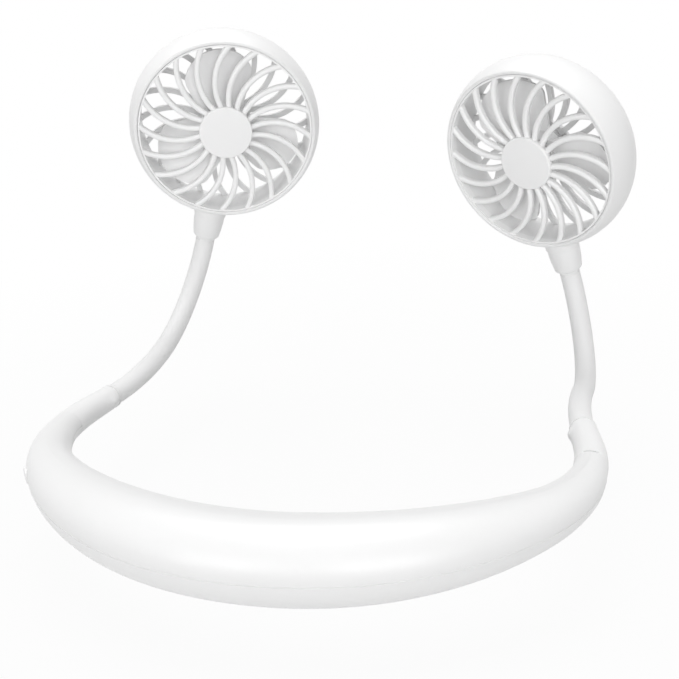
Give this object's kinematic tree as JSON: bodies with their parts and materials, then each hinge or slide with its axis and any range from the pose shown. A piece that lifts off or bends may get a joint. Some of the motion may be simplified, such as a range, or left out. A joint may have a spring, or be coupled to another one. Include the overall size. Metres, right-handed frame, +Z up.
{
  "type": "electric neck fan",
  "caption": "White hands-free neck fan: a round crescent neckband that carries a caged fan head on a bendable gooseneck at each arm end.",
  "frame": {"origin": "middle of the neck space, level with the neckband's parting plane, where the band is widest", "axes": "+Z up, +Y the way the wearer faces, +X the wearer's right"},
  "size_m": [0.2074, 0.2165, 0.1493],
  "materials": {
    "white_shell": "gloss",
    "white_grille": "satin",
    "white_blade": "satin",
    "white_sleeve": "satin",
    "white_boot": "satin",
    "core_steel": "satin",
    "motor_steel": "satin",
    "shaft_steel": "polished",
    "screw_steel": "satin",
    "cell_wrap": "gloss",
    "board_green": "matte",
    "switch_black": "matte",
    "socket_steel": "satin",
    "lens_clear": "gloss"
  },
  "bodies": {
    "neckband": {"neckband_upper_shell": "white_shell", "neckband_lower_shell": "white_shell", "battery_cells": "cell_wrap", "shell_screws": "screw_steel", "tact_switch": "switch_black", "control_board": "board_green", "indicator_lens": "lens_clear", "usb_socket": "socket_steel", "left_gooseneck_sleeve_root": "white_sleeve", "left_gooseneck_core_root": "core_steel", "left_arm_boot": "white_boot", "right_gooseneck_sleeve_root": "white_sleeve", "right_gooseneck_core_root": "core_steel", "right_arm_boot": "white_boot"},
    "power_button": {"power_button": "white_shell"},
    "left_neck_lower": {"left_gooseneck_sleeve_lower": "white_sleeve", "left_gooseneck_core_lower": "core_steel"},
    "left_neck_middle": {"left_gooseneck_sleeve_middle": "white_sleeve", "left_gooseneck_core_middle": "core_steel"},
    "left_neck_upper": {"left_gooseneck_sleeve_upper": "white_sleeve", "left_gooseneck_core_upper": "core_steel"},
    "left_head": {"left_gooseneck_sleeve_top": "white_sleeve", "left_gooseneck_core_top": "core_steel", "left_head_collar": "white_shell", "left_fan_housing": "white_shell", "left_front_grille": "white_grille", "left_hub_cap": "white_shell", "left_motor_can": "motor_steel", "left_motor_screws": "screw_steel"},
    "left_impeller": {"left_motor_shaft": "shaft_steel", "left_impeller": "white_blade"},
    "right_neck_lower": {"right_gooseneck_sleeve_lower": "white_sleeve", "right_gooseneck_core_lower": "core_steel"},
    "right_neck_middle": {"right_gooseneck_sleeve_middle": "white_sleeve", "right_gooseneck_core_middle": "core_steel"},
    "right_neck_upper": {"right_gooseneck_sleeve_upper": "white_sleeve", "right_gooseneck_core_upper": "core_steel"},
    "right_head": {"right_gooseneck_sleeve_top": "white_sleeve", "right_gooseneck_core_top": "core_steel", "right_head_collar": "white_shell", "right_fan_housing": "white_shell", "right_front_grille": "white_grille", "right_hub_cap": "white_shell", "right_motor_can": "motor_steel", "right_motor_screws": "screw_steel"},
    "right_impeller": {"right_motor_shaft": "shaft_steel", "right_impeller": "white_blade"}
  },
  "joints": [
    {"name": "power_button_press", "type": "slide", "parent": "neckband", "child": "power_button", "axis": [0.7657, 0.6432, 0], "range_m": [0, 0.0008], "stiffness_N_per_m": 1200},
    {"name": "left_neck_lift", "type": "hinge", "parent": "neckband", "child": "left_neck_lower", "pos_m": [-0.09007, 0.03256, 0.00013], "axis": [0.9833, -0.1822, 0], "range_deg": [-25, 25]},
    {"name": "left_neck_swing", "type": "hinge", "parent": "left_neck_lower", "child": "left_neck_middle", "pos_m": [-0.08776, 0.06224, 0.00331], "axis": [-0.0328, -0.1768, 0.9837], "range_deg": [-25, 25]},
    {"name": "left_neck_tilt", "type": "hinge", "parent": "left_neck_middle", "child": "left_neck_upper", "pos_m": [-0.08629, 0.08905, 0.01537], "axis": [0.9833, -0.1822, 0], "range_deg": [-25, 25]},
    {"name": "left_neck_lean", "type": "hinge", "parent": "left_neck_upper", "child": "left_head", "pos_m": [-0.07945, 0.101, 0.04014], "axis": [-0.1805, -0.9741, 0.1359], "range_deg": [-25, 25]},
    {"name": "left_impeller_spin", "type": "hinge", "parent": "left_head", "child": "left_impeller", "pos_m": [-0.0608, 0.0956, 0.0966], "axis": [0.3594, -0.9077, -0.2164], "continuous": true},
    {"name": "right_neck_lift", "type": "hinge", "parent": "neckband", "child": "right_neck_lower", "pos_m": [0.09004, 0.03327, -0.0002], "axis": [0.9833, 0.1822, 0], "range_deg": [-25, 25]},
    {"name": "right_neck_swing", "type": "hinge", "parent": "right_neck_lower", "child": "right_neck_middle", "pos_m": [0.08988, 0.06571, -0.00519], "axis": [-0.0477, 0.2572, 0.9652], "range_deg": [-25, 25]},
    {"name": "right_neck_tilt", "type": "hinge", "parent": "right_neck_middle", "child": "right_neck_upper", "pos_m": [0.09089, 0.09724, -0.00129], "axis": [0.9833, 0.1822, 0], "range_deg": [-25, 25]},
    {"name": "right_neck_lean", "type": "hinge", "parent": "right_neck_upper", "child": "right_head", "pos_m": [0.08503, 0.11286, 0.02451], "axis": [0.1808, -0.9753, 0.1268], "range_deg": [-25, 25]},
    {"name": "right_impeller_spin", "type": "hinge", "parent": "right_head", "child": "right_impeller", "pos_m": [0.0691, 0.1048, 0.0822], "axis": [-0.4374, -0.8622, -0.2554], "continuous": true}
  ]
}
